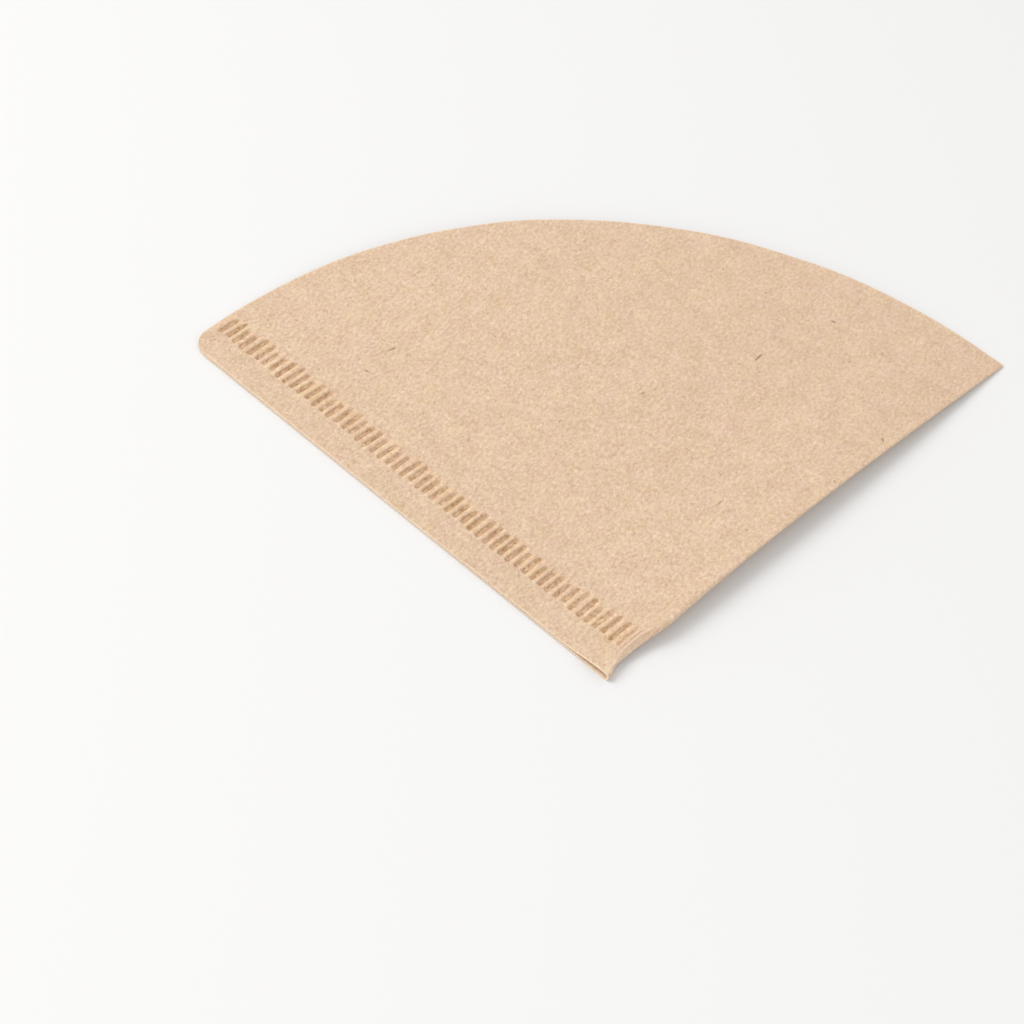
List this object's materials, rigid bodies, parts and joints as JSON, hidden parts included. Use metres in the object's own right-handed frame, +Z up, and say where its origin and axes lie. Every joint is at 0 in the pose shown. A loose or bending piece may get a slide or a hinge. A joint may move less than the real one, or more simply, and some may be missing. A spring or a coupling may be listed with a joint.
{
  "type": "paper coffee filter",
  "caption": "Cone coffee filter of unbleached paper, folded flat to a quarter disc: fold on one straight side, crimped seam on the other, open along the arc.",
  "frame": {"origin": "under the middle of the folded filter's outline, on the surface it lies on", "axes": "+X along the fold from the cone's point to the mouth, +Y along the crimped seam from the fold to the mouth, +Z up through the two layers"},
  "size_m": [0.1292, 0.118, 0.0045],
  "materials": {
    "unbleached_paper": "matte, uncoated, finely fibrous"
  },
  "bodies": {
    "root": {"filter_sheet": "unbleached_paper"}
  },
  "joints": []
}
